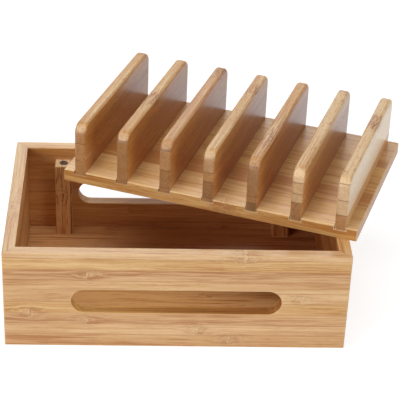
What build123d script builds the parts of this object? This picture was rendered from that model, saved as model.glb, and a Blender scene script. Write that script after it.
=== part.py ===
from build123d import *
import os

# Charging station organizer: a bamboo box with mitred corners and a cable slot at front and back,
# and a lid that carries a row of dividers. The lid lies askew on the box's rim, as if set down there.
# Millimetres. Length is along X, depth along Y and height along Z.
# The origin is the centre of the box's underside.

# Box
box_length = 300.0
box_depth = 190.0
box_height = 97.0
wall_thickness = 11.0
corner_round = 1.2
rim_round = 0.8
foot_round = 0.6

# Cable slots in the front and back walls
slot_length = 183.0
slot_height = 24.0
slot_centre_height = 48.0
slot_bevel = 0.5

# Floor board, let into a rebate in the walls
floor_thickness = 9.0
rebate_depth = 5.0
floor_gap = 0.2

# Posts that carry the lid
post_width = 16.0
post_depth = 14.0
post_inset = 26.0
post_bevel = 0.6

# Magnets, let into the tops of the posts and into the underside of the lid
magnet_diameter = 8.0
magnet_thickness = 3.0
magnet_setback = 0.3
magnet_gap = 0.1

# Lid plate, a loose fit inside the rim
plate_thickness = 12.0
plate_gap = 1.5
plate_bevel = 0.7

# Dividers, housed in the plate
divider_count = 7
divider_thickness = 11.0
divider_height = 48.0
divider_corner_radius = 9.5
divider_bevel = 1.0
divider_margin = 10.0
housing_depth = 3.5
housing_gap = 0.05

# Where the lid lies on the rim, from the place where it would drop in
lid_shift_x = 55.5
lid_shift_y = 55.0
lid_angle = 20.5

# How far a cutter runs past what it cuts
overrun = 2.0

quarter_turn = 90.0
half_turn = 180.0

# Worked out from the sizes above
inner_length = box_length - 2 * wall_thickness
inner_depth = box_depth - 2 * wall_thickness
seat_height = box_height - plate_thickness
post_x = inner_length / 2 - post_inset - post_width / 2
post_y = inner_depth / 2 - post_depth / 2
pocket_depth = magnet_setback + magnet_thickness
plate_length = inner_length - 2 * plate_gap
plate_depth = inner_depth - 2 * plate_gap
divider_span = plate_length - 2 * divider_margin - divider_thickness
divider_pitch = divider_span / (divider_count - 1)

lid_place = Location((lid_shift_x, lid_shift_y, box_height), (0, 0, -lid_angle))
corners = {
    "front_left": (-post_x, -post_y),
    "front_right": (post_x, -post_y),
    "back_left": (-post_x, post_y),
    "back_right": (post_x, post_y),
}


def upright(length, depth, low, high):
    """A block centred on the Z axis, from one height to another."""
    block = Box(length, depth, high - low, align=(Align.CENTER, Align.CENTER, Align.MIN))
    return Pos(0, 0, low) * block


def slot_cutter():
    """A round-ended prism that passes through the front and back walls."""
    outline = Plane.XZ * SlotOverall(slot_length, slot_height)
    prism = extrude(outline, amount=box_depth / 2 + overrun, both=True)
    return Pos(0, 0, slot_centre_height) * prism


def bevel_slots(ring):
    """Take the sharpness off both slots' edges, on the faces of the walls."""
    reach = slot_height / 2 + overrun
    edges = ring.edges().filter_by(Axis.Y, reverse=True)
    edges = edges.filter_by_position(Axis.X, -slot_length / 2 - overrun, slot_length / 2 + overrun)
    edges = edges.filter_by_position(Axis.Z, slot_centre_height - reach, slot_centre_height + reach)
    return chamfer(edges, slot_bevel)


def wall_ring():
    """The four walls as one ring, with the slots and the floor's rebate cut."""
    outside = upright(box_length, box_depth, 0, box_height)
    outside = fillet(outside.edges().filter_by(Axis.Z), corner_round)
    outside = fillet(outside.faces().sort_by(Axis.Z)[0].edges(), foot_round)
    ring = outside - upright(inner_length, inner_depth, -overrun, box_height + overrun)
    ring = fillet(ring.faces().sort_by(Axis.Z)[-1].edges(), rim_round)
    rebate_length = inner_length + 2 * rebate_depth
    rebate_width = inner_depth + 2 * rebate_depth
    ring -= upright(rebate_length, rebate_width, -overrun, floor_thickness)
    return bevel_slots(ring - slot_cutter())


def mitre_cutter(half_length, half_depth):
    """A prism over the ring's wall towards -Y, with sides at 45 degrees through the ring's corners."""
    reach = wall_thickness + overrun
    outline = Polygon(
        (-half_length - overrun, -half_depth - overrun),
        (half_length + overrun, -half_depth - overrun),
        (half_length - reach, reach - half_depth),
        (reach - half_length, reach - half_depth),
        align=None,
    )
    return extrude(outline, amount=box_height)


def walls():
    """The four wall boards, by name, cut from the ring at the mitres."""
    ring = wall_ring()
    long_cutter = mitre_cutter(box_length / 2, box_depth / 2)
    short_cutter = mitre_cutter(box_depth / 2, box_length / 2)
    return {
        "front_panel": ring & long_cutter,
        "back_panel": ring & Rot(0, 0, half_turn) * long_cutter,
        "left_end_panel": ring & Rot(0, 0, -quarter_turn) * short_cutter,
        "right_end_panel": ring & Rot(0, 0, quarter_turn) * short_cutter,
    }


def floor_board():
    """The floor, flush with the walls' undersides."""
    tongue = rebate_depth - floor_gap
    return upright(inner_length + 2 * tongue, inner_depth + 2 * tongue, 0, floor_thickness)


def magnet_pocket(low, high):
    """A cutter for the hole that a magnet sits in."""
    height = high - low
    radius = magnet_diameter / 2 + magnet_gap
    hole = Cylinder(radius, height, align=(Align.CENTER, Align.CENTER, Align.MIN))
    return Pos(0, 0, low) * hole


def magnet(low):
    """A magnet with its underside at the given height."""
    disc = Cylinder(magnet_diameter / 2, magnet_thickness, align=(Align.CENTER, Align.CENTER, Align.MIN))
    return Pos(0, 0, low) * disc


def post():
    """A post on the floor board, with a pocket for its magnet in the top."""
    bar = upright(post_width, post_depth, floor_thickness, seat_height)
    foot = bar.faces().sort_by(Axis.Z)[0]
    eased = bar.edges().filter_by(lambda edge: edge.center().Z > foot.center().Z)
    bar = chamfer(eased, post_bevel)
    return bar - magnet_pocket(seat_height - pocket_depth, seat_height + overrun)


def divider_places():
    """The X of each divider's middle, in the lid's own frame."""
    return [divider_pitch * step - divider_span / 2 for step in range(divider_count)]


def lid_plate():
    """The plate, with a housing for each divider and pockets for the magnets in its underside."""
    plate = upright(plate_length, plate_depth, 0, plate_thickness)
    plate = chamfer(plate.edges(), plate_bevel)
    housing_width = divider_thickness + 2 * housing_gap
    housing_run = plate_depth + 2 * overrun
    housing_floor = plate_thickness - housing_depth
    housing = upright(housing_width, housing_run, housing_floor, plate_thickness + overrun)
    plate -= [Pos(x, 0, 0) * housing for x in divider_places()]
    plate -= [Pos(x, y, 0) * magnet_pocket(-overrun, pocket_depth) for x, y in corners.values()]
    return plate


def divider():
    """A divider with its foot at the bottom of its housing. Its two upper corners are round."""
    height = housing_depth + divider_height
    side = Rectangle(plate_depth, height, align=(Align.CENTER, Align.MIN))
    side = fillet(side.vertices().group_by(Axis.Y)[-1], divider_corner_radius)
    board = extrude(Plane.YZ * side, amount=divider_thickness / 2, both=True)
    outlines = board.faces().filter_by(Axis.X).edges()
    eased = outlines.filter_by(lambda edge: edge.center().Z > 0)
    return Pos(0, 0, plate_thickness - housing_depth) * chamfer(eased, divider_bevel)


def box_pieces():
    """Every piece that stays put, by name."""
    pieces = walls()
    pieces["bottom_panel"] = floor_board()
    for name, (x, y) in corners.items():
        pieces["post_" + name] = Pos(x, y, 0) * post()
        pieces["post_magnet_" + name] = Pos(x, y, 0) * magnet(seat_height - pocket_depth)
    return pieces


def lid_pieces():
    """Every piece that lifts off with the lid, by name, where the lid lies."""
    pieces = {"lid_plate": lid_plate()}
    for number, x in enumerate(divider_places(), start=1):
        pieces[f"divider_{number}"] = Pos(x, 0, 0) * divider()
    for name, (x, y) in corners.items():
        pieces["lid_magnet_" + name] = Pos(x, y, 0) * magnet(magnet_setback)
    return {name: lid_place * piece for name, piece in pieces.items()}


os.makedirs("parts", exist_ok=True)
for name, piece in {**box_pieces(), **lid_pieces()}.items():
    piece.label = name
    export_step(piece, os.path.join("parts", name + ".step"))
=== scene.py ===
import math

import bpy
from mathutils import Matrix, Vector


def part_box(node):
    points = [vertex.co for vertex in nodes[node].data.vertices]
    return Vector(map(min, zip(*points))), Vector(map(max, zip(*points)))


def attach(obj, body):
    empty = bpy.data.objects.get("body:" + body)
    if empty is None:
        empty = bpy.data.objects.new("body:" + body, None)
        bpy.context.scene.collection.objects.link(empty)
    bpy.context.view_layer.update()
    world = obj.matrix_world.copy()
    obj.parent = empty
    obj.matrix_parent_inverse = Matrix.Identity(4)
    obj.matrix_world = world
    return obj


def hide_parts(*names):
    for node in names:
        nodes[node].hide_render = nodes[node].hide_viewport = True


# The looks of a charging station organizer: a bamboo box with a cable slot at front and back, and a
# lid with a row of dividers that lies askew on the rim. Metres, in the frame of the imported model.
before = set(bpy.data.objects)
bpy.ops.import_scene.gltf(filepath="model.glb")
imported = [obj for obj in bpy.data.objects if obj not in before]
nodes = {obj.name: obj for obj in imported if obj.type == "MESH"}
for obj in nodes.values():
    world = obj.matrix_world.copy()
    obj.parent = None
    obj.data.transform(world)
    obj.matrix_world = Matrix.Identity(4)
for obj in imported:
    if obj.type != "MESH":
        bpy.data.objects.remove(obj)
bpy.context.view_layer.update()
scene = bpy.context.scene

# Sizes of the box
box_half_length = 0.150
box_half_depth = 0.095
box_height = 0.097
rim_round = 0.0008
post_height = 0.085
slot_radius = 0.012
slot_half_run = 0.0915 - slot_radius
slot_centre_height = 0.048

# Sizes of the lid, in its own frame: its underside is at height 0 and the dividers run along Y
plate_length = 0.275
plate_depth = 0.165
plate_thickness = 0.012
divider_count = 7
divider_pitch = 0.244 / 6
divider_thickness = 0.011
divider_foot = 0.0085
divider_top = 0.060
divider_corner_radius = 0.0095
divider_edge_round = 0.0028
knuckle_depth = 0.010
glue_and_highlight_width = 0.0006
least_glue_and_highlight = 0.2
most_glue_and_highlight = 0.75
divider_low = (-divider_thickness / 2, -plate_depth / 2, divider_foot)
divider_high = (divider_thickness / 2, plate_depth / 2, divider_top)
divider_seed = 61.0
divider_wear_and_highlight_width = 0.0015
divider_coat = 0.72
divider_gloss = 0.3
strands_reach = 0.045
divider_edge_steps = 4
corner_steps = 10
crease_angle = math.radians(50)
merge_distance = 1e-6
magnet_span_x = 0.210
magnet_span_y = 0.154
magnet_diameter = 0.008
magnet_thickness = 0.003
magnet_edge_round = 0.0003
magnet_edge_steps = 3
magnet_sides = 40
magnet_dish = 0.00015
post_magnet_height = 0.0817
lid_magnet_height = 0.0003

# Where the lid lies
lid_shift = Vector((0.0555, 0.055, 0.097))
lid_angle = math.radians(-20.5)
lid_place = Matrix.Translation(lid_shift) @ Matrix.Rotation(lid_angle, 4, "Z")
box_place = Matrix.Identity(4)

along_x, along_y, along_z = Vector((1, 0, 0)), Vector((0, 1, 0)), Vector((0, 0, 1))


def from_srgb(red, green, blue):
    """A colour given as 0 to 255, as the shaders want it."""
    def linear(level):
        level /= 255
        return level / 12.92 if level <= 0.04045 else ((level + 0.055) / 1.055) ** 2.4
    return (linear(red), linear(green), linear(blue), 1.0)


# Bamboo strips from pale to dark, the boards that differ, and end grain
pale_bamboo = from_srgb(227, 188, 136)
body_bamboo = from_srgb(211, 165, 110)
dark_bamboo = from_srgb(179, 119, 61)
plate_body = from_srgb(212, 168, 106)
floor_body = from_srgb(226, 184, 131)
left_pale = from_srgb(227, 194, 138)
left_body = from_srgb(210, 170, 112)
divider_pale = from_srgb(216, 182, 133)
divider_body = from_srgb(197, 149, 90)
post_body = from_srgb(200, 140, 84)
post_dark = from_srgb(140, 78, 40)
end_bamboo = from_srgb(178, 127, 77)
end_pale = from_srgb(221, 187, 143)
pore_bamboo = from_srgb(116, 74, 42)
# Painted shade: inside the box the bamboo is made warmer and darker, and its coat duller; a painted shadow of
# the lid darkens it further under the lid but for what a slot lights
painted_inside_shade_tint = (0.93, 0.79, 0.64, 1.0)
inside_coat_share = 0.3
painted_lid_shadow_tint = (0.80, 0.66, 0.60, 1.0)
lid_open_side = -0.12
lid_shaded_side = 0.02
slot_lit_front = -0.03
slot_lit_back = 0.01
# Painted shade on the slots' cut faces, and painted light on those at the left
painted_shade_cut_tint = (0.85, 0.74, 0.56, 1.0)
painted_light_cut_tint = (1.29, 1.52, 1.33, 1.0)
# The dividers: painted shade on their flat sides and a painted sheen on the palest boards' sides, their tops'
# lacquer, and the glue round their feet with a painted highlight
painted_between_shade_tint = (0.90, 0.72, 0.48, 1.0)
painted_sheen_bamboo = from_srgb(228, 208, 180)
top_coat_share = 0.45
glue_and_highlight_pale = from_srgb(234, 208, 168)
# Strands and knuckles
strand_dark = from_srgb(152, 96, 56)
strand_pale = from_srgb(226, 188, 142)
knuckle_pale = from_srgb(226, 186, 142)
knuckle_dark = from_srgb(150, 98, 56)


class Level:
    """A node's output. Each sign in a sum of levels adds a math node."""

    def __init__(self, socket):
        self.socket = socket
        self.tree = socket.id_data

    def __add__(self, other):
        return reckon("ADD", self, other)

    def __radd__(self, other):
        return reckon("ADD", other, self)

    def __sub__(self, other):
        return reckon("SUBTRACT", self, other)

    def __rsub__(self, other):
        return reckon("SUBTRACT", other, self)

    def __mul__(self, other):
        return reckon("MULTIPLY", self, other)

    def __truediv__(self, other):
        return reckon("DIVIDE", self, other)

    def __rtruediv__(self, other):
        return reckon("DIVIDE", other, self)

    def __pow__(self, other):
        return reckon("POWER", self, other)

    def __abs__(self):
        return reckon("ABSOLUTE", self)


class Inputs:
    """A node's inputs by name, to be joined to levels or set to plain values."""

    def __init__(self, node):
        self.node = node

    def __setitem__(self, name, value):
        socket = self.node.inputs[name]
        if isinstance(value, Level):
            value.tree.links.new(value.socket, socket)
        else:
            socket.default_value = value


def levels(node):
    """A node's outputs by name."""
    return {socket.name: Level(socket) for socket in node.outputs}


def add(tree, kind, values=None, **settings):
    """A new node with these settings, fed with these values."""
    node = tree.nodes.new(kind)
    for name, setting in settings.items():
        setattr(node, name, setting)
    inputs = Inputs(node)
    for name, value in (values or {}).items():
        inputs[name] = value
    return node


def take(tree, kind, values=None, output=0, **settings):
    """One output of a new node."""
    return Level(add(tree, kind, values, **settings).outputs[output])


def use(group, values):
    """The outputs, by name, of one use of a group, in the tree that its values come from."""
    tree = first_level(values.values()).tree
    return levels(add(tree, group.bl_idname.replace("Tree", "Group"), values, node_tree=group))


def first_level(values):
    return next(value for value in values if isinstance(value, Level))


def reckon(operation, *values, clamp=False):
    """The answer of a math node, or of a vector math node where the first level is a vector or a colour."""
    first = first_level(values)
    values = dict(enumerate(values))
    if first.socket.type in ("VECTOR", "RGBA"):
        output = "Value" if operation in ("LENGTH", "DOT_PRODUCT") else "Vector"
        return take(first.tree, "ShaderNodeVectorMath", values, output, operation=operation)
    return take(first.tree, "ShaderNodeMath", values, operation=operation, use_clamp=clamp)


def larger(first, second):
    return reckon("MAXIMUM", first, second)


def smaller(first, second):
    return reckon("MINIMUM", first, second)


def split(vector):
    return list(levels(add(vector.tree, "ShaderNodeSeparateXYZ", {0: vector})).values())


def join(*values):
    return take(first_level(values).tree, "ShaderNodeCombineXYZ", dict(enumerate(values)))


def fade(value, start, end, to_start=0.0, to_end=1.0):
    """A smooth step of value from start to end, held at both ends."""
    values = {0: value, 1: start, 2: end, 3: to_start, 4: to_end}
    return take(value.tree, "ShaderNodeMapRange", values, interpolation_type="SMOOTHSTEP")


def noise(vector, scale, detail=2.0, roughness=0.5, distortion=0.0, output="Fac"):
    values = {"Vector": vector, "Scale": scale, "Detail": detail,
              "Roughness": roughness, "Distortion": distortion}
    return take(vector.tree, "ShaderNodeTexNoise", values, output)


def drawn_noise(vector, along, across, detail=2.0, roughness=0.6, distortion=0.0):
    """Noise drawn out along the grain, with that many spots per metre along and across it."""
    return noise(vector * (along, across, across), 1.0, detail, roughness, distortion)


def random(*seeds):
    """Three random levels that belong to up to three whole numbers."""
    seeds = list(seeds) + [0.0] * (3 - len(seeds))
    vector = join(*seeds)
    return take(vector.tree, "ShaderNodeTexWhiteNoise", {"Vector": vector}, "Color")


def mix(share, first, second, blend="MIX"):
    values = {0: share, 6: first, 7: second}
    return take(share.tree, "ShaderNodeMix", values, 2, data_type="RGBA", blend_type=blend)


def tint(colour, hue=0.5, saturation=1.0, value=1.0):
    values = {"Hue": hue, "Saturation": saturation, "Value": value, "Color": colour}
    return take(colour.tree, "ShaderNodeHueSaturation", values)


def node_group(name, kind, inputs, outputs):
    """A new group, its sockets' names listed by kind: its tree, its inputs and its outputs."""
    tree = bpy.data.node_groups.new(name, kind)
    for side, sockets in (("INPUT", inputs), ("OUTPUT", outputs)):
        for socket_kind, labels in sockets.items():
            for label in labels:
                tree.interface.new_socket(name=label, in_out=side, socket_type="NodeSocket" + socket_kind)
    return tree, levels(add(tree, "NodeGroupInput")), Inputs(add(tree, "NodeGroupOutput"))


def shader_group(name, inputs, outputs):
    return node_group(name, "ShaderNodeTree", inputs, outputs)


def put(name, data):
    """A new object in the scene."""
    thing = bpy.data.objects.new(name, data)
    scene.collection.objects.link(thing)
    return thing


# Grain vectors have the grain along X, the glued strips side by side along Y and the third way along Z
def make_knuckle_group():
    """A knuckle of the cane: a pale patch with dark lines round it, and fibres that part for it."""
    tree, given, out = shader_group(
        "knuckle", {"Vector": ["Grain Vector", "Centre"], "Float": ["Size", "Halo", "Crack"]},
        {"Vector": ["Grain Vector"], "Float": ["Halo", "Crack", "Stain"]})
    vector, size = given["Grain Vector"], given["Size"]
    uneven = noise(vector, 1.1 / size, 2.0, 0.6, output="Color")
    uneven = (uneven - (0.5, 0.5, 0.5)) * (1.4, 1.0, 0.0)
    uneven = uneven * join(size, size, size)
    off = vector - given["Centre"] + uneven
    along, across = (level / size for level in split(off)[:2])

    def bell(along_share, across_share):
        """A soft spot, that many times as long and as broad as the knuckle's size."""
        first = (along / along_share) ** 2.0
        second = (across / across_share) ** 2.0
        return reckon("EXPONENT", (first + second) * -1.0)

    # Folds that cross the grain, pale and dark by turns
    bow = across ** 2.0 * 0.35
    turn = (along + bow) * 8.5
    fold = reckon("COSINE", turn) * bell(0.62, 0.95)
    halo = larger(bell(0.85, 0.6) * 0.6, fold)
    # A dark line along the grain above and below the folds, stronger near them
    outer = abs(across) - 0.95 + abs(along) * 0.1
    flare = reckon("EXPONENT", outer ** 2.0 * -24.0) * bell(3.4, 3.0)
    shade = (bell(2.3, 1.2) - bell(0.85, 0.6)) * 0.4
    crack = larger(larger(flare * 0.8, fold * -1.0), shade)
    # The fibres part round the knuckle, and they are others behind it
    pull = across * size * bell(2.6, 1.7)
    side = reckon("SIGN", along) * bell(3.0, 1.3)
    bent = vector + join(0.0, pull * -0.6, side * 0.002)
    out["Grain Vector"] = bent
    out["Halo"] = larger(halo, given["Halo"])
    out["Crack"] = larger(crack, given["Crack"])
    out["Stain"] = bell(2.4, 1.6)
    return tree


def make_even_strips_group():
    """Strips of one width, glued side by side: which one a point is in, and how far from its joints."""
    tree, given, out = shader_group(
        "even strips", {"Vector": ["Grain Vector"], "Float": ["Width", "Shift"]},
        {"Float": ["Strip", "Middle", "To Joint"]})
    across = split(given["Grain Vector"])[1]
    place = (across + given["Shift"]) / given["Width"]
    strip = reckon("FLOOR", place)
    inside = reckon("FRACT", place)
    out["Strip"] = strip
    out["Middle"] = (strip + 0.5) * given["Width"] - given["Shift"]
    out["To Joint"] = smaller(inside, 1.0 - inside) * given["Width"]
    return tree


def make_board_seams_group():
    """A board glued up from four strips: its joints' heights, and its tones from the foot to the top."""
    tree, given, out = shader_group(
        "board seams", {"Vector": ["Grain Vector", "Seams", "Tones"], "Float": ["Top Tone"]},
        {"Float": ["Strip", "To Joint", "Tone"]})
    across = split(given["Grain Vector"])[1]
    tones = split(given["Tones"]) + [given["Top Tone"]]
    strip, to_joint, tone = 0.0, 1.0, tones[0]
    for seam, below, above in zip(split(given["Seams"]), tones, tones[1:]):
        past = across - seam
        is_past = reckon("GREATER_THAN", past, 0.0)
        strip = strip + is_past
        tone = tone + (above - below) * is_past
        to_joint = smaller(to_joint, abs(past))
    out["Tone"] = tone
    out["Strip"] = strip
    out["To Joint"] = to_joint
    return tree


def make_strip_knuckles_group(knuckle):
    """A knuckle here and there in each strip, at a place that belongs to the strip."""
    tree, given, out = shader_group(
        "strip knuckles",
        {"Vector": ["Grain Vector"], "Float": ["Strip", "Middle", "Spacing", "Seed", "Halo", "Crack"]},
        {"Vector": ["Grain Vector"], "Float": ["Halo", "Crack"]})
    strip, spacing, seed = given["Strip"], given["Spacing"], given["Seed"]
    along, depth = split(given["Grain Vector"])[::2]
    start = split(random(strip, seed))[0]
    cell = reckon("FLOOR", along / spacing + start)
    lot = split(random(strip, seed, cell))
    centre_along = cell - start + (0.5 + (lot[0] - 0.5) * 0.5)
    centre_across = given["Middle"] + (lot[1] - 0.5) * 0.005
    bent = use(knuckle, {
        "Grain Vector": given["Grain Vector"],
        "Centre": join(centre_along * spacing, centre_across, depth),
        "Size": fade(lot[2], 0.0, 1.0, 0.0025, 0.0045), "Halo": 0.0, "Crack": 0.0,
    })
    strength = fade(lot[2], 0.1, 0.6, 0.3, 1.0)
    out["Grain Vector"] = bent["Grain Vector"]
    for mark in ("Halo", "Crack"):
        out[mark] = larger(bent[mark] * strength, given[mark])
    return tree


def make_bamboo_group():
    """Bamboo strips: streaks, fibres, flecks, glue joints, knuckles and end grain."""
    tree, given, out = shader_group(
        "bamboo",
        {"Vector": ["Grain Vector", "Straight Vector"], "Float": ["Strip", "To Joint", "Tone", "End Tone",
         "Seed", "Strip Contrast", "Streak Contrast", "Flecks", "Halo", "Crack", "End Grain"],
         "Color": ["Pale", "Body", "Dark"]},
        {"Color": ["Colour"], "Float": ["Roughness", "Height"]})
    lot = random(given["Strip"], given["Seed"])
    lots = split(lot)
    joint = fade(given["To Joint"], 0.0002, 0.0009, 1.0, 0.0)
    broken = fade(drawn_noise(given["Straight Vector"], 16.0, 0.0, 3.0), 0.35, 0.6, 0.3, 1.0)
    plain = broken * fade(lots[2], 0.0, 1.0, 0.35, 1.0)
    joint = joint * larger(plain, given["End Grain"])

    own = given["Grain Vector"] + lot * (3.0, 1.0, 1.0)
    streak = drawn_noise(own, 13.0, 430.0, 4.0, 0.62, 0.1)
    fibre = drawn_noise(own, 45.0, 1500.0)
    cloud = drawn_noise(own, 6.0, 75.0, 2.0, 0.5)
    line = fade(drawn_noise(own, 11.0, 560.0, 3.0), 0.55, 0.7)
    stroke = fade(drawn_noise(own, 26.0, 380.0), 0.56, 0.72)
    fleck = fade(drawn_noise(own, 150.0, 900.0, 1.0, 0.5), 0.56, 0.7)

    def share(level, weight):
        return (level - 0.5) * weight

    grain = (share(streak, 2.2) + share(fibre, 1.0) + share(cloud, 1.4)) * given["Streak Contrast"]
    tone = grain + share(lots[0], 1.0) * given["Strip Contrast"] + given["Tone"] + 0.5
    colour = mix(fade(tone, 0.0, 0.5), given["Dark"], given["Body"])
    colour = mix(fade(tone, 0.5, 1.0), colour, given["Pale"])
    thin = (line * 0.6 + stroke * 0.35) * given["Streak Contrast"]
    thin = reckon("ADD", thin, fleck * given["Flecks"], clamp=True)
    colour = mix(thin, colour, given["Dark"])
    warmth = drawn_noise(own, 20.0, 210.0, 2.0, 0.5)
    hue = 0.5 + share(lots[1], 0.005) + share(warmth, 0.01)
    colour = tint(colour, hue=hue, saturation=fade(lots[1], 0.0, 1.0, 0.97, 1.04))
    colour = mix(joint * 0.75, colour, given["Dark"])

    # At a knuckle the fibres are short and crossed
    crossed = drawn_noise(own, 300.0, 1000.0, 2.0, 0.6, 0.4)
    halo = given["Halo"] * fade(crossed, 0.3, 0.6, 0.5, 1.0)
    crack = given["Crack"] * fade(crossed, 0.4, 0.6, 0.25, 1.0)
    colour = mix(halo * 0.8, colour, knuckle_pale)
    colour = mix(crack * 0.9, colour, knuckle_dark)

    # End grain: bundles of fibres as dark dots, in columns that run across the strips
    ends = (given["Straight Vector"] + lot * (0.0, 0.1, 0.1)) * (0.0, 1.0, 1.0)
    bundles = {"Vector": ends * (0.0, 620.0, 820.0), "Scale": 1.0, "Randomness": 0.75}
    dot = fade(take(tree, "ShaderNodeTexVoronoi", bundles, "Distance"), 0.22, 0.46, 1.0, 0.0)
    columns = noise(ends * (0.0, 110.0, 900.0), 1.0, 2.0, 0.6)
    blots = noise(ends * (0.0, 170.0, 120.0), 1.0, 3.0, 0.6)
    end_pale_tone = mix(dot * 0.5, end_pale, end_bamboo)
    end_tone = mix(dot * 0.5, end_bamboo, pore_bamboo)
    end_tone = mix(fade(columns, 0.45, 0.75, 0.0, 0.25), end_tone, pore_bamboo)
    level = fade(blots, 0.3, 0.7, 0.94, 1.06) + share(lots[0], 0.1)
    paler = reckon("MULTIPLY", given["End Tone"], 1.0, clamp=True)
    end_tone = mix(paler, end_tone, end_pale_tone)
    end_tone = tint(end_tone, value=level + smaller(given["End Tone"], 0.0))
    end_tone = mix(joint * 0.6, end_tone, pore_bamboo)
    out["Colour"] = mix(given["End Grain"], colour, end_tone)

    rough = 0.46 + share(fibre, 0.22) + fleck * 0.08 + crack * 0.15
    out["Roughness"] = rough + given["End Grain"] * 0.16
    height = fibre * 0.5 + streak * 0.5
    for mark, depth in ((fleck, 0.4), (line, 0.3), (stroke, 0.2), (joint, 0.7), (crack, 0.8)):
        height = height - mark * depth
    out["Height"] = height - given["End Grain"] * dot * 0.6
    return tree


def make_edge_wear_and_highlight_group():
    """Where a board's edges are rubbed pale: wear, with a painted highlight along them. The board is a block,
    given by its middle and half size.
    """
    tree, given, out = shader_group(
        "edge wear and painted highlight", {"Vector": ["Grain Vector", "Centre", "Half Size"], "Float": ["Width"]},
        {"Float": ["Wear"]})
    off = abs(given["Grain Vector"] - given["Centre"])
    x, y, z = split(given["Half Size"] - off)
    least = smaller(smaller(x, y), z)
    most = larger(larger(x, y), z)
    middle = x + y + z - least - most
    patchy = noise(given["Grain Vector"], 90.0, 3.0, 0.6)
    width = given["Width"] * fade(patchy, 0.3, 0.7, 0.45, 1.2)
    out["Wear"] = fade(middle / width, 0.35, 1.0, 1.0, 0.0)
    return tree


def make_slot_edge_group():
    """Where the edges of a cable slot are rubbed pale, wear with a painted highlight along them, and where
    the slot's own cut faces are.
    """
    tree, given, out = shader_group(
        "slot edge", {"Vector": ["Grain Vector"], "Float": ["Half Run", "Radius", "Centre Height", "Width"]},
        {"Float": ["Wear", "Cut"]})
    along, across = split(given["Grain Vector"])[:2]
    past = larger(abs(along) - given["Half Run"], 0.0)
    rise = across - given["Centre Height"]
    distance = reckon("LENGTH", join(past, rise, 0.0)) - given["Radius"]
    cut = fade(distance, 0.0001, 0.0003, 1.0, 0.0)
    near = fade(distance / given["Width"], 0.4, 1.0, 1.0, 0.0)
    out["Wear"] = reckon("SUBTRACT", near, cut, clamp=True)
    out["Cut"] = cut
    return tree


def make_mitre_group():
    """The glue line of a mitre, at 45 degrees through the box's corners."""
    tree, given, out = shader_group(
        "mitre line", {"Vector": ["Grain Vector"], "Float": ["Half Length", "Half Depth"]},
        {"Float": ["Line"]})
    along, depth = split(given["Grain Vector"])[::2]
    past_length = abs(along) - given["Half Length"]
    past_depth = abs(depth) - given["Half Depth"]
    out["Line"] = fade(abs(past_length - past_depth), 0.0001, 0.0007, 1.0, 0.0)
    return tree


def make_housing_glue_and_highlight_group():
    """The pale bead of glue round a divider's foot, with a painted highlight, where its housing comes out at
    the plate's long edges.
    """
    tree, given, out = shader_group(
        "housing glue and painted highlight",
        {"Vector": ["Grain Vector"], "Float": ["Pitch", "Half Thickness", "Foot", "Half Depth",
         "Edge Round", "Width"]},
        {"Float": ["Glue"]})
    along, across, height = split(given["Grain Vector"])
    off_middle = abs(reckon("FRACT", along / given["Pitch"] + 0.5) - 0.5) * given["Pitch"]
    beside = off_middle - given["Half Thickness"]
    share = larger(beside, given["Foot"] - height) / given["Width"]
    at_edge = reckon("LESS_THAN", given["Half Depth"] - abs(across), given["Edge Round"])
    out["Glue"] = fade(share, 0.7, 1.1, 1.0, 0.0) * at_edge
    return tree


def make_inside_group():
    """Whether a point is within the box's outer faces, where the bamboo gets painted shade and a duller coat.
    """
    tree, given, out = shader_group(
        "inside of the box", {"Vector": ["Place"], "Float": ["Half Length", "Half Depth", "Height"]},
        {"Float": ["Inside"]})
    x, y, z = split(given["Place"])
    past_walls = larger(abs(x) - given["Half Length"], abs(y) - given["Half Depth"])
    past = larger(past_walls, z - given["Height"])
    out["Inside"] = fade(past, 0.0002, 0.0008, 1.0, 0.0)
    return tree


knuckle_group = make_knuckle_group()
even_strips_group = make_even_strips_group()
board_seams_group = make_board_seams_group()
strip_knuckles_group = make_strip_knuckles_group(knuckle_group)
bamboo_group = make_bamboo_group()
edge_wear_and_highlight_group = make_edge_wear_and_highlight_group()
slot_edge_group = make_slot_edge_group()
mitre_group = make_mitre_group()
inside_group = make_inside_group()
housing_glue_and_highlight_group = make_housing_glue_and_highlight_group()


def new_material(name):
    material = bpy.data.materials.new(name)
    material.use_nodes = True
    return material, material.node_tree, Inputs(material.node_tree.nodes["Principled BSDF"])


def worn_and_highlit_edges(vector, grain_place, low, high, place, width):
    """How worn a board's edges are, with a painted highlight along them. The corners of its block are given
    in place's frame.
    """
    to_grain = grain_place.inverted() @ place
    first, second = to_grain @ Vector(low), to_grain @ Vector(high)
    return use(edge_wear_and_highlight_group, {
        "Grain Vector": vector, "Centre": (first + second) / 2,
        "Half Size": Vector(abs(level) for level in (second - first) / 2), "Width": width})["Wear"]


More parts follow.
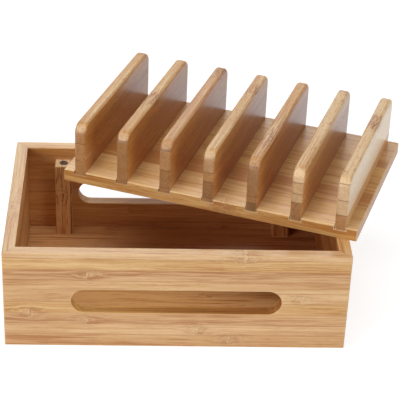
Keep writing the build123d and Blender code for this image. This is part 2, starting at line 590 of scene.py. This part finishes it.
def bamboo_material(name, grain, strips, low, high, place=box_place, strip_width=0.0135, strip_shift=0.0,
                    seed=0.0, strip_contrast=0.3, streak_contrast=0.9, flecks=0.2, knuckles=(),
                    knuckle_spacing=0.24, end_tone=0.1, wear_and_highlight_width=0.0012, coat=0.5, gloss=0.5,
                    inside_top=box_height, lid_shade=1.0, slot=False, slot_left_painted_light=painted_shade_cut_tint, mitre=None,
                    strip_tones=(), edge_tone=0.0, housings=False,
                    pale=pale_bamboo, body=body_bamboo, dark=dark_bamboo):
    """Bamboo for one board. Its block is given in place's frame, its knuckles along and across the grain."""
    material, tree, shader = new_material(name)
    straight, facing, grain_place = lay_grain(tree, grain, strips, place)
    end_grain = fade(facing[0], 0.6, 0.95)
    strip = use(even_strips_group, {"Grain Vector": straight, "Width": strip_width, "Shift": strip_shift})
    vector, halo, crack = straight, 0.0, 0.0
    depth = split(straight)[2]
    for centre_along, centre_across, size in knuckles:
        bent = use(knuckle_group, {
            "Grain Vector": vector, "Centre": join(centre_along, centre_across, depth),
            "Size": size, "Halo": halo, "Crack": crack})
        vector, halo, crack = bent["Grain Vector"], bent["Halo"], bent["Crack"]
    if knuckle_spacing:
        bent = use(strip_knuckles_group, {
            "Grain Vector": vector, "Strip": strip["Strip"], "Middle": strip["Middle"],
            "Spacing": knuckle_spacing, "Seed": seed, "Halo": halo, "Crack": crack})
        vector, halo, crack = bent["Grain Vector"], bent["Halo"], bent["Crack"]
    tone = fade(facing[1], 0.6, 0.95, 0.0, edge_tone)
    for number, strip_tone in enumerate(strip_tones):
        tone = tone + reckon("COMPARE", strip["Strip"], number, 0.5) * strip_tone
    bamboo = use(bamboo_group, {
        "Grain Vector": vector, "Straight Vector": straight, "Strip": strip["Strip"],
        "To Joint": strip["To Joint"], "Tone": tone, "End Tone": end_tone, "Seed": seed,
        "Strip Contrast": strip_contrast, "Streak Contrast": streak_contrast, "Flecks": flecks,
        "Halo": halo, "Crack": crack, "End Grain": end_grain, "Pale": pale, "Body": body, "Dark": dark})
    # Edges rubbed pale: wear, with a painted highlight
    wear_and_highlight = worn_and_highlit_edges(straight, grain_place, low, high, place, wear_and_highlight_width)
    colour = bamboo["Colour"]
    if slot:
        slot_edge = use(slot_edge_group, {
            "Grain Vector": straight, "Half Run": slot_half_run, "Radius": slot_radius,
            "Centre Height": slot_centre_height, "Width": wear_and_highlight_width})
        wear_and_highlight = larger(wear_and_highlight, slot_edge["Wear"])
        # The slot's cut faces get painted shade, turning to painted light towards their left end
        to_right = fade(split(straight)[0], -slot_half_run, slot_half_run)
        colour = mix(slot_edge["Cut"], colour, mix(to_right, slot_left_painted_light, painted_shade_cut_tint), blend="MULTIPLY")
    if mitre:
        mitre_line = use(mitre_group, {
            "Grain Vector": straight, "Half Length": mitre[0], "Half Depth": mitre[1]})["Line"]
        colour = mix(mitre_line * 0.35, colour, dark)
    if housings:
        # Glue round the dividers' feet, with a painted highlight
        glue_and_highlight = use(housing_glue_and_highlight_group, {
            "Grain Vector": straight, "Pitch": divider_pitch, "Half Thickness": divider_thickness / 2,
            "Foot": divider_foot, "Half Depth": plate_depth / 2, "Edge Round": divider_edge_round,
            "Width": glue_and_highlight_width})["Glue"]
        colour = mix(glue_and_highlight * glue_and_highlight_amount(split(straight)[0]), colour, glue_and_highlight_pale)
    if inside_top:
        position = take(tree, "ShaderNodeTexCoord", output="Object")
        within = use(inside_group, {
            "Place": position, "Half Length": box_half_length - rim_round,
            "Half Depth": box_half_depth - rim_round, "Height": inside_top - rim_round})["Inside"]
        # Painted shade inside the box, then a painted shadow of the lid, lifted near the front where a slot
        # lets light in
        colour = mix(within, colour, painted_inside_shade_tint, blend="MULTIPLY")
        rightward, backward = split(position)[:2]
        painted_lid_shadow = fade(rightward, lid_open_side, lid_shaded_side, 0.0, lid_shade)
        painted_lid_shadow = painted_lid_shadow * fade(backward, slot_lit_front, slot_lit_back)
        colour = mix(within * painted_lid_shadow, colour, painted_lid_shadow_tint, blend="MULTIPLY")
        coat = fade(within, 0.0, 1.0, coat, coat * inside_coat_share)
    finish_bamboo(shader, bamboo, colour, wear_and_highlight, pale, coat, gloss)
    return material


def lay_grain(tree, grain, strips, place):
    """Grain vectors, how squarely a face meets each grain axis, and the grain vectors' own frame.

    The grain and the row of strips are given in place's frame.
    """
    grain_place = place @ Matrix((grain, strips, grain.cross(strips))).transposed().to_4x4()
    coordinates = levels(add(tree, "ShaderNodeTexCoord"))
    straight = take(tree, "ShaderNodeMapping", {
        "Vector": coordinates["Object"], "Location": grain_place.translation,
        "Rotation": grain_place.to_euler()}, vector_type="TEXTURE")
    turn = grain_place.to_3x3()
    facing = [abs(reckon("DOT_PRODUCT", coordinates["Normal"], turn @ axis))
              for axis in (along_x, along_y, along_z)]
    return straight, facing, grain_place


def bumps(height, strength, distance):
    """A normal for a surface with these small heights."""
    return take(height.tree, "ShaderNodeBump", {"Strength": strength, "Distance": distance, "Height": height})


def finish_bamboo(shader, bamboo, colour, wear_and_highlight, pale, coat, gloss):
    """A satin lacquer over the bamboo, rubbed paler and smoother where it is worn; the paleness there is also
    a painted highlight.
    """
    shader["Base Color"] = mix(wear_and_highlight * 0.35, colour, pale)
    shader["Roughness"] = bamboo["Roughness"] - wear_and_highlight * 0.08
    shader["Normal"] = bumps(bamboo["Height"], 0.35, 0.00025)
    shader["IOR"] = 1.45
    shader["Specular IOR Level"] = gloss
    shader["Coat Weight"] = coat
    shader["Coat Roughness"] = 0.27


def glue_and_highlight_amount(rightward):
    """How much glue and painted highlight shows round a foot. On the real lid there is more of it towards the
    right.
    """
    return fade(rightward, -plate_length / 2, plate_length / 2, least_glue_and_highlight, most_glue_and_highlight)


def make_divider_bamboo():
    """Bamboo for the row of dividers. Each board has its own joints, tones and knuckle in its top face."""
    material, tree, shader = new_material("divider bamboo")
    straight, facing, grain_place = lay_grain(tree, along_y, along_z, lid_place)
    end_grain = fade(facing[0], 0.25, 0.8)
    slanted = fade(facing[1], 0.2, 0.6, 0.0, 0.6)
    side = fade(facing[2], 0.6, 0.95)

    def of_board(attribute, output="Fac"):
        return take(tree, "ShaderNodeAttribute", attribute_name=attribute, output=output)

    own_seed = of_board("board") + divider_seed
    beside = straight - join(0.0, 0.0, of_board("board_middle"))
    strip = use(board_seams_group, {
        "Grain Vector": straight, "Seams": of_board("seams", "Vector"),
        "Tones": of_board("tones", "Vector"), "Top Tone": of_board("top_tone")})
    # The knuckle lies in the top face, so its height and its thickness change places
    along, upward, sideways = split(beside)
    flat = join(along, sideways, upward)
    knuckle_along, knuckle_sideways, knuckle_size = split(of_board("knuckle", "Vector"))
    bent = use(knuckle_group, {
        "Grain Vector": flat, "Halo": 0.0, "Crack": 0.0, "Size": knuckle_size,
        "Centre": join(knuckle_along, knuckle_sideways, upward)})
    near_top = fade(upward, divider_top - knuckle_depth, divider_top - divider_edge_round)
    halo, crack, stain = (bent[mark] * near_top for mark in ("Halo", "Crack", "Stain"))
    moved = split((bent["Grain Vector"] - flat) * join(near_top, near_top, near_top))
    vector = straight + join(moved[0], moved[2], moved[1])
    side_level = strip["Tone"] + of_board("side_tone")
    tone = fade(side, 0.0, 1.0, strip["Tone"], side_level) - stain * 0.25
    streaks = fade(side, 0.0, 1.0, 1.0, 0.7) + stain * 2.0
    strand = stain * fade(drawn_noise(vector, 24.0, 500.0), 0.42, 0.58, 0.1, 1.8)
    # Dark and pale strands far along the top face, where its knuckle is a large one
    spread = reckon("EXPONENT", ((along - knuckle_along) / strands_reach) ** 2.0 * -1.0)
    spread = spread * near_top * fade(knuckle_size, 0.0060, 0.0080)
    fibres = drawn_noise(straight, 34.0, 760.0, 2.0, 0.55)
    dark_strand = fade(fibres, 0.50, 0.58, 0.0, 0.85) * spread
    pale_strand = fade(fibres, 0.42, 0.50, 0.5, 0.0) * spread
    bamboo = use(bamboo_group, {
        "Grain Vector": vector, "Straight Vector": straight, "Strip": strip["Strip"],
        "To Joint": strip["To Joint"], "Tone": tone, "Seed": own_seed,
        "End Tone": larger(strip["Tone"] * 2.2, -0.42) + slanted, "Strip Contrast": 0.15,
        "Streak Contrast": streaks, "Flecks": 0.7, "Halo": halo, "Crack": larger(crack, strand),
        "End Grain": end_grain, "Pale": divider_pale, "Body": divider_body, "Dark": dark_bamboo})
    colour = mix(dark_strand, bamboo["Colour"], strand_dark)
    colour = mix(pale_strand, colour, strand_pale)
    wear_and_highlight = worn_and_highlit_edges(beside, grain_place, divider_low, divider_high, lid_place, divider_wear_and_highlight_width)
    # Painted shade makes the flat sides a deeper brown than the tops, and the palest boards' sides get a pale
    # painted sheen
    painted_deeper_shade = side * fade(side_level, 0.2, 0.32, 1.0, 0.0)
    colour = mix(painted_deeper_shade, colour, painted_between_shade_tint, blend="MULTIPLY")
    painted_sheen = side * fade(side_level, 0.27, 0.34, 0.0, 0.45)
    colour = mix(painted_sheen, colour, painted_sheen_bamboo)
    amount = glue_and_highlight_amount(of_board("board_middle"))
    # Glue round the foot in its housing, and a painted highlight over the groove's shade
    in_housing = fade(upward, plate_thickness, plate_thickness + glue_and_highlight_width, amount, 0.0)
    rounded = fade(facing[0], 0.6, 0.95, 1.0, 0.0)
    colour = mix(in_housing * rounded, colour, glue_and_highlight_pale)
    coat = fade(facing[1], 0.6, 0.95, divider_coat, divider_coat * top_coat_share)
    finish_bamboo(shader, bamboo, colour, wear_and_highlight, divider_pale, coat, divider_gloss)
    return material


def dress(name, material):
    """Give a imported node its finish."""
    nodes[name].material_slots[0].material = material


# The walls and the floor of the box

# The front panel's knuckles, where they are on the real one: along the panel, height and size
front_knuckles = (
    (-0.0775, 0.0758, 0.0042),
    (-0.1279, 0.0359, 0.0046),
    (-0.0777, 0.0280, 0.0038),
    (0.0188, 0.0184, 0.0042),
    (0.0465, 0.0089, 0.0044),
    (0.0579, 0.0955, 0.0056),
    (0.1072, 0.0532, 0.0030),
)
# How pale the front panel's and the right end's strips are, from the foot up; the right end's darkest strips
# also paint the shade under the lid
front_strip_tones = (0.00, -0.06, 0.06, -0.12, 0.10, 0.14, 0.12, -0.22, 0.04, 0.28)
right_strip_tones_and_shade = (0.00, -0.20, -0.40, -0.50, 0.15, 0.10, -0.50, -0.40, -0.45, 0.00)
long_mitre = (box_half_length, box_half_depth)
short_mitre = (box_half_depth, box_half_length)

dress("front_panel", bamboo_material(
    "front panel bamboo", along_x, along_z, *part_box("front_panel"), strip_width=0.01135,
    strip_shift=0.00985, seed=3.0, strip_contrast=0.08, strip_tones=front_strip_tones, edge_tone=-0.2,
    knuckles=front_knuckles, knuckle_spacing=None, lid_shade=0.0, slot=True,
    slot_left_painted_light=painted_light_cut_tint, mitre=long_mitre))
dress("back_panel", bamboo_material(
    "back panel bamboo", along_x, along_z, *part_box("back_panel"), strip_shift=0.0060, seed=11.0,
    slot=True, slot_left_painted_light=painted_light_cut_tint, mitre=long_mitre))
dress("left_end_panel", bamboo_material(
    "left end bamboo", along_y, along_z, *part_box("left_end_panel"), strip_shift=0.0040, seed=19.0,
    knuckles=((-0.0263, 0.0965, 0.0046),), mitre=short_mitre, pale=left_pale, body=left_body))
dress("right_end_panel", bamboo_material(
    "right end bamboo", along_y, along_z, *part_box("right_end_panel"), strip_width=0.01135,
    strip_shift=0.0089, seed=23.0, strip_contrast=0.08, strip_tones=right_strip_tones_and_shade, mitre=short_mitre))
dress("bottom_panel", bamboo_material(
    "floor board bamboo", along_x, along_y, *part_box("bottom_panel"), strip_width=0.019,
    strip_shift=0.003, seed=31.0, coat=0.15, gloss=0.3, body=floor_body))
post_streaks = {"front_left": 1.2, "front_right": 1.2, "back_left": 1.8, "back_right": 0.8}
for number, (corner, streaks) in enumerate(post_streaks.items()):
    post = "post_" + corner
    dress(post, bamboo_material(
        post + " bamboo", along_z, along_x, *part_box(post), strip_width=0.008,
        strip_shift=0.0013 * number, seed=41.0 + number, strip_contrast=streaks / 2, streak_contrast=streaks,
        knuckles=((0.0556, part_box(post)[0][0] + 0.005, 0.0060),), end_tone=1.0, coat=0.3,
        inside_top=post_height, lid_shade=0.3, body=post_body, dark=post_dark))

# The lid
plate_low = (-plate_length / 2, -plate_depth / 2, 0.0)
plate_high = (plate_length / 2, plate_depth / 2, plate_thickness)
# How pale the plate's strips are, from the front edge to the back; these tones also paint the light at the
# front and the shade between the dividers further back
plate_strip_tones_and_light = (0.38, -0.06, -0.45, -0.12, -0.14, -0.14, -0.08, -0.10)
dress("lid_plate", bamboo_material(
    "lid plate bamboo", along_x, along_y, plate_low, plate_high, place=lid_place, inside_top=None,
    strip_width=0.0243, strip_shift=0.0913, seed=53.0, strip_contrast=0.1, streak_contrast=0.65, flecks=0.3,
    strip_tones=plate_strip_tones_and_light, edge_tone=-0.76, housings=True, gloss=0.3, body=plate_body))


def make_eased_slab_group():
    """A flat slab with the given outline and rounded edges, built as rings that close at both middles."""
    tree, given, out = node_group(
        "eased slab", "GeometryNodeTree",
        {"Geometry": ["Outline"], "Vector": ["Outward"], "Float": ["Thickness", "Edge Round", "Dish"],
         "Int": ["Edge Steps"]},
        {"Geometry": ["Slab"]})
    around = take(tree, "GeometryNodeAttributeDomainSize", {0: given["Outline"]}, "Point Count",
                  component="CURVE")
    last_ring = given["Edge Steps"] * 2.0 + 1.0
    rings = last_ring + 3.0
    grid = take(tree, "GeometryNodeMeshGrid", {"Vertices X": around + 1.0, "Vertices Y": rings})
    index = take(tree, "GeometryNodeInputIndex")
    place = reckon("FLOOR", (index + 0.5) / rings)
    ring = index - place * rings - 1.0
    place = reckon("FLOORED_MODULO", place, around)

    def on_outline(value):
        values = {0: given["Outline"], "Value": value, "Index": place}
        return take(tree, "GeometryNodeSampleIndex", values, data_type="FLOAT_VECTOR")

    def scaled(vector, scale):
        return take(tree, "ShaderNodeVectorMath", {0: vector, "Scale": scale}, operation="SCALE")

    point = on_outline(take(tree, "GeometryNodeInputPosition"))
    outward = on_outline(given["Outward"])
    step = smaller(ring, last_ring - ring)
    side = reckon("SIGN", ring - last_ring * 0.5)
    angle = larger(step / given["Edge Steps"] * (math.pi / 2), 0.0)
    inset = given["Edge Round"] * (1.0 - reckon("SINE", angle))
    drop = given["Edge Round"] * (1.0 - reckon("COSINE", angle))
    at_middle = reckon("LESS_THAN", step, -0.5)
    drop = drop + at_middle * given["Dish"]
    height = side * (given["Thickness"] * 0.5 - drop)
    flat_x, flat_y = split(scaled(point - scaled(outward, inset), 1.0 - at_middle))[:2]
    slab = take(tree, "GeometryNodeSetPosition", {0: grid, "Position": join(flat_x, flat_y, height)})
    out["Slab"] = take(tree, "GeometryNodeMergeByDistance", {0: slab, "Distance": merge_distance})
    return tree


def number_copies(tree, copies, name, value):
    """Store a number that belongs to each copy."""
    return take(tree, "GeometryNodeStoreNamedAttribute", {0: copies, "Name": name, "Value": value},
                domain="INSTANCE", data_type="FLOAT")


def finish_copies(tree, copies, shift, turn, finish):
    """Make one mesh of the copies, smooth but for its creases, and put it in its place."""
    mesh = take(tree, "GeometryNodeRealizeInstances", {0: copies})
    mesh = take(tree, "GeometryNodeTransform", {0: mesh, "Translation": shift, "Rotation": turn})
    mesh = take(tree, "GeometryNodeSetShadeSmooth", {0: mesh})
    angle = take(tree, "GeometryNodeInputMeshEdgeAngle")
    creases = {0: mesh, "Selection": reckon("GREATER_THAN", angle, crease_angle), "Shade Smooth": False}
    mesh = take(tree, "GeometryNodeSetShadeSmooth", creases, domain="EDGE")
    return take(tree, "GeometryNodeSetMaterial", {0: mesh, "Material": finish})


def make_divider_row_tree(eased_slab):
    """A row of upright boards with two round corners each, at an even pitch along the lid."""
    tree, given, out = node_group(
        "divider row", "GeometryNodeTree",
        {"Geometry": ["Geometry"], "Int": ["Count", "Corner Steps", "Edge Steps"], "Float": ["Pitch",
         "Board Length", "Board Foot", "Board Top", "Thickness", "Corner Radius", "Edge Round"],
         "Vector": ["Lid Shift", "Lid Turn"], "Material": ["Finish"]},
        {"Geometry": ["Geometry"]})
    radius = given["Corner Radius"]
    board_height = given["Board Top"] - given["Board Foot"]
    outline = take(tree, "GeometryNodeCurvePrimitiveQuadrilateral", {
        "Width": given["Board Length"], "Height": board_height})
    position = take(tree, "GeometryNodeInputPosition")
    x, y = split(position)[:2]
    upper = reckon("GREATER_THAN", y, 0.0)
    outline = take(tree, "GeometryNodeFilletCurve", {
        "Curve": outline, "Count": upper * given["Corner Steps"], "Radius": upper * radius}, mode="POLY")
    # Outward on the straight sides is level, also at the foot, which keeps its full width
    past_x = larger(abs(x) - given["Board Length"] * 0.5 + radius, 0.0) * reckon("SIGN", x)
    past_y = larger(y - board_height * 0.5 + radius, 0.0)
    board = use(eased_slab, {
        "Outline": outline, "Outward": reckon("NORMALIZE", join(past_x, past_y, 0.0)), "Dish": 0.0,
        **{name: given[name] for name in ("Thickness", "Edge Round", "Edge Steps")}})["Slab"]
    middle_height = (given["Board Top"] + given["Board Foot"]) * 0.5
    board = take(tree, "GeometryNodeTransform", {
        0: board, "Rotation": (math.pi / 2, 0.0, math.pi / 2),
        "Translation": join(0.0, 0.0, middle_height)})
    first_x = (given["Count"] - 1.0) * given["Pitch"] * -0.5
    row = take(tree, "GeometryNodeMeshLine", {
        "Count": given["Count"], "Start Location": join(first_x, 0.0, 0.0),
        "Offset": join(given["Pitch"], 0.0, 0.0)})
    boards = take(tree, "GeometryNodeInstanceOnPoints", {"Points": row, "Instance": board})
    boards = number_copies(tree, boards, "board", take(tree, "GeometryNodeInputIndex"))
    boards = number_copies(tree, boards, "board_middle", split(position)[0])
    out["Geometry"] = finish_copies(tree, boards, given["Lid Shift"], given["Lid Turn"], given["Finish"])
    return tree


def make_magnet_tree(eased_slab):
    """Four round magnets at the corners of a rectangle, their faces a little hollow."""
    tree, given, out = node_group(
        "magnet discs", "GeometryNodeTree",
        {"Geometry": ["Geometry"], "Int": ["Sides", "Edge Steps"], "Float": ["Span X", "Span Y",
         "Diameter", "Thickness", "Edge Round", "Dish", "Height"], "Vector": ["Shift", "Turn"],
         "Material": ["Finish"]},
        {"Geometry": ["Geometry"]})
    circle = take(tree, "GeometryNodeCurvePrimitiveCircle", {
        "Resolution": given["Sides"], "Radius": given["Diameter"] * 0.5})
    position = take(tree, "GeometryNodeInputPosition")
    disc = use(eased_slab, {
        "Outline": circle, "Outward": reckon("NORMALIZE", position),
        **{name: given[name] for name in ("Thickness", "Edge Round", "Edge Steps", "Dish")}})["Slab"]
    middle_height = given["Height"] + given["Thickness"] * 0.5
    disc = take(tree, "GeometryNodeTransform", {0: disc, "Translation": join(0.0, 0.0, middle_height)})
    corners = take(tree, "GeometryNodeMeshGrid", {
        "Size X": given["Span X"], "Size Y": given["Span Y"], "Vertices X": 2, "Vertices Y": 2})
    discs = take(tree, "GeometryNodeInstanceOnPoints", {"Points": corners, "Instance": disc})
    discs = number_copies(tree, discs, "disc", take(tree, "GeometryNodeInputIndex"))
    out["Geometry"] = finish_copies(tree, discs, given["Shift"], given["Turn"], given["Finish"])
    return tree


def grow(name, tree, inputs):
    """A plain mesh piece made by a geometry tree with these inputs."""
    seedling = put(name + "_seedling", bpy.data.meshes.new(name + "_seedling"))
    modifier = seedling.modifiers.new("tree", "NODES")
    modifier.node_group = tree
    for socket in tree.interface.items_tree:
        if socket.in_out == "INPUT" and socket.name in inputs:
            modifier[socket.identifier] = inputs[socket.name]
    weighted = seedling.modifiers.new("even shading", "WEIGHTED_NORMAL")
    weighted.keep_sharp = True
    seedling.update_tag()
    graph = bpy.context.evaluated_depsgraph_get()
    graph.update()
    mesh = bpy.data.meshes.new_from_object(seedling.evaluated_get(graph), depsgraph=graph)
    mesh.name = name
    empty_slots = [number for number, material in enumerate(mesh.materials) if material is None]
    for number in reversed(empty_slots):
        mesh.materials.pop(index=number)
    bpy.data.objects.remove(seedling)
    return put(name, mesh)


eased_slab_group = make_eased_slab_group()
divider_row_tree = make_divider_row_tree(eased_slab_group)
magnet_tree = make_magnet_tree(eased_slab_group)

# Where each divider's strips are glued, as heights, from the left divider to the right
divider_seams = (
    (0.0010, 0.0020, 0.0416),
    (0.0010, 0.0020, 0.0530),
    (0.0140, 0.0320, 0.0522),
    (0.0132, 0.0296, 0.0390),
    (0.0175, 0.0238, 0.0535),
    (0.0270, 0.0360, 0.0473),
    (0.0238, 0.0386, 0.0547),
)
# How pale those strips are, from the foot up, and the top strip
divider_tones = (
    (0.00, 0.00, 0.00),
    (0.00, 0.00, -0.04),
    (-0.07, -0.05, 0.04),
    (-0.05, -0.11, 0.02),
    (-0.19, -0.07, -0.12),
    (-0.08, 0.26, 0.20),
    (-0.02, 0.31, 0.38),
)
divider_top_tones = (0.00, -0.04, -0.30, 0.12, -0.20, 0.38, 0.36)
# How much paler or darker its sides are than its strips, which also picks the sides that get painted shade
# and those that get a painted sheen
divider_side_tones = (0.00, -0.04, 0.00, -0.10, -0.20, -0.12, 0.25)
# The knuckle in each divider's top: its place along the divider, how far off the middle, and its size
divider_knuckles = (
    (0.0780, 0.0010, 0.0025),
    (-0.0070, 0.0010, 0.0050),
    (0.0700, -0.0010, 0.0055),
    (0.0430, 0.0015, 0.0036),
    (-0.0330, 0.0000, 0.0085),
    (0.0780, -0.0010, 0.0030),
    (0.0250, 0.0000, 0.0055),
)
divider_row = grow("divider_row", divider_row_tree, {
    "Count": divider_count, "Pitch": divider_pitch, "Board Length": plate_depth,
    "Board Foot": divider_foot, "Board Top": divider_top, "Thickness": divider_thickness,
    "Corner Radius": divider_corner_radius, "Corner Steps": corner_steps,
    "Edge Round": divider_edge_round, "Edge Steps": divider_edge_steps,
    "Lid Shift": lid_shift, "Lid Turn": (0.0, 0.0, lid_angle), "Finish": make_divider_bamboo(),
})
boards = [round(point.value) for point in divider_row.data.attributes["board"].data]
board_facts = {
    "seams": divider_seams, "tones": divider_tones, "knuckle": divider_knuckles,
    "top_tone": divider_top_tones, "side_tone": divider_side_tones,
}
for name, facts in board_facts.items():
    kind, field = ("FLOAT_VECTOR", "vector") if isinstance(facts[0], tuple) else ("FLOAT", "value")
    attribute = divider_row.data.attributes.new(name, kind, "POINT")
    for point, board in zip(attribute.data, boards):
        setattr(point, field, facts[board])


def make_magnet_metal():
    """Nickel plating with fine rubbed marks and smears."""
    material, tree, shader = new_material("nickel plating")
    position = take(tree, "ShaderNodeTexCoord", output="Object")
    marks = noise(position, 900.0, 4.0, 0.7)
    smears = noise(position, 260.0)
    grime = fade(marks + smears, 0.85, 1.2)
    shader["Base Color"] = mix(grime, from_srgb(100, 95, 90), from_srgb(152, 148, 145))
    shader["Roughness"] = fade(marks, 0.3, 0.7, 0.34, 0.52)
    shader["Metallic"] = 1.0
    shader["Normal"] = bumps(marks, 0.2, 0.0001)
    return material


magnet_metal = make_magnet_metal()
magnet_sizes = {
    "Span X": magnet_span_x, "Span Y": magnet_span_y, "Diameter": magnet_diameter,
    "Thickness": magnet_thickness, "Sides": magnet_sides, "Edge Round": magnet_edge_round,
    "Edge Steps": magnet_edge_steps, "Dish": magnet_dish, "Finish": magnet_metal,
}
post_magnets = grow("post_magnets", magnet_tree, {
    **magnet_sizes, "Height": post_magnet_height, "Shift": (0.0, 0.0, 0.0), "Turn": (0.0, 0.0, 0.0)})
lid_magnets = grow("lid_magnets", magnet_tree, {
    **magnet_sizes, "Height": lid_magnet_height, "Shift": lid_shift, "Turn": (0.0, 0.0, lid_angle)})

corner_names = ("front_left", "front_right", "back_left", "back_right")
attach(divider_row, "lid")
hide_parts(*[f"divider_{number + 1}" for number in range(divider_count)])
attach(post_magnets, "box")
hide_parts(*["post_magnet_" + corner for corner in corner_names])
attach(lid_magnets, "lid")
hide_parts(*["lid_magnet_" + corner for corner in corner_names])


# The floor, the surroundings, the lamps and the camera
floor_reach = 6.0
surroundings_level = 0.02
lamp_size = 1.2
lamp_aim = Vector((0.02, 0.03, 0.06))
lamps = {
    "key lamp": ((-1.63, -1.35, 0.62), 24.5),
    "right lamp": ((1.67, -1.35, 0.62), 20.5),
    "top lamp": ((0.02, 0.03, 2.26), 16.5),
    "back lamp": ((0.02, 1.83, 1.32), 8.5),
    "left lamp": ((-1.06, -0.16, 1.97), 12.5),
}
paper_level = 0.82
shadow_level = 0.4
camera_place = Vector((-0.0400342, -1.1690762, 0.8240565))
camera_lens = 137.11
camera_yaw = math.radians(3.016)
camera_pitch = math.radians(31.953)
camera_roll = math.radians(2.437)


def grey(level):
    return (level, level, level, 1)


def seen_or_reflected(tree):
    """Whether a ray comes from the camera, a reflection or through something clear."""
    path = levels(add(tree, "ShaderNodeLightPath"))
    return larger(larger(path["Is Camera Ray"], path["Is Glossy Ray"]), path["Is Transmission Ray"])


def make_floor():
    """A wide pale floor that keeps the object's shadow. It shows as white where nothing shades it."""
    low, high = -floor_reach, floor_reach
    mesh = bpy.data.meshes.new("floor")
    mesh.from_pydata([(low, low, 0), (high, low, 0), (high, high, 0), (low, high, 0)], [], [(0, 1, 2, 3)])
    floor = put("floor", mesh)
    material = bpy.data.materials.new("pale floor")
    material.use_nodes = True
    tree = material.node_tree
    tree.nodes.clear()
    paper = take(tree, "ShaderNodeBsdfDiffuse", {"Color": grey(paper_level)})
    faint = take(tree, "ShaderNodeBsdfDiffuse", {"Color": grey(shadow_level)})
    far_off = reckon("LENGTH", take(tree, "ShaderNodeTexCoord", output="Object"))
    white = take(tree, "ShaderNodeEmission", {"Strength": fade(far_off, 0.7, 2.0, 0.8, 1.0)})
    shown = take(tree, "ShaderNodeAddShader", {0: faint, 1: white})
    surface = take(tree, "ShaderNodeMixShader", {0: seen_or_reflected(tree), 1: paper, 2: shown})
    add(tree, "ShaderNodeOutputMaterial", {"Surface": surface})
    mesh.materials.append(material)


def make_surroundings():
    """White all round to the eye and in reflections, and a dimmer even light on the object."""
    world = bpy.data.worlds.new("white surroundings")
    world.use_nodes = True
    scene.world = world
    tree = world.node_tree
    tree.nodes.clear()
    lighting, shown = (take(tree, "ShaderNodeBackground", {"Color": grey(1), "Strength": level})
                       for level in (surroundings_level, 1.0))
    surface = take(tree, "ShaderNodeMixShader", {0: seen_or_reflected(tree), 1: lighting, 2: shown})
    add(tree, "ShaderNodeOutputWorld", {"Surface": surface})


def make_lamp(name, place, power):
    """A soft box: a square area lamp that looks at the object."""
    light = bpy.data.lights.new(name, "AREA")
    light.shape = "SQUARE"
    light.size = lamp_size
    light.energy = power
    lamp = put(name, light)
    lamp.location = place
    lamp.rotation_euler = (lamp_aim - Vector(place)).to_track_quat("-Z", "Y").to_euler()
    lamp.visible_camera = False


def make_camera():
    """The photograph's viewpoint: above the box, a little left of its middle."""
    level_reach = math.cos(camera_pitch)
    forward = Vector((math.sin(camera_yaw) * level_reach, math.cos(camera_yaw) * level_reach,
                      -math.sin(camera_pitch)))
    level = forward.cross(along_z).normalized()
    upward = level.cross(forward)
    right = level * math.cos(camera_roll) + upward * math.sin(camera_roll)
    up = upward * math.cos(camera_roll) - level * math.sin(camera_roll)
    data = bpy.data.cameras.new("camera")
    data.sensor_width = 36.0
    data.lens = camera_lens
    data.clip_start, data.clip_end = 0.05, 50.0
    camera = put("camera", data)
    turn = Matrix((right, up, -forward)).transposed().to_4x4()
    camera.matrix_world = Matrix.Translation(camera_place) @ turn
    scene.camera = camera


make_floor()
make_surroundings()
for name, (place, power) in lamps.items():
    make_lamp(name, place, power)
make_camera()

scene.view_settings.view_transform = "Standard"
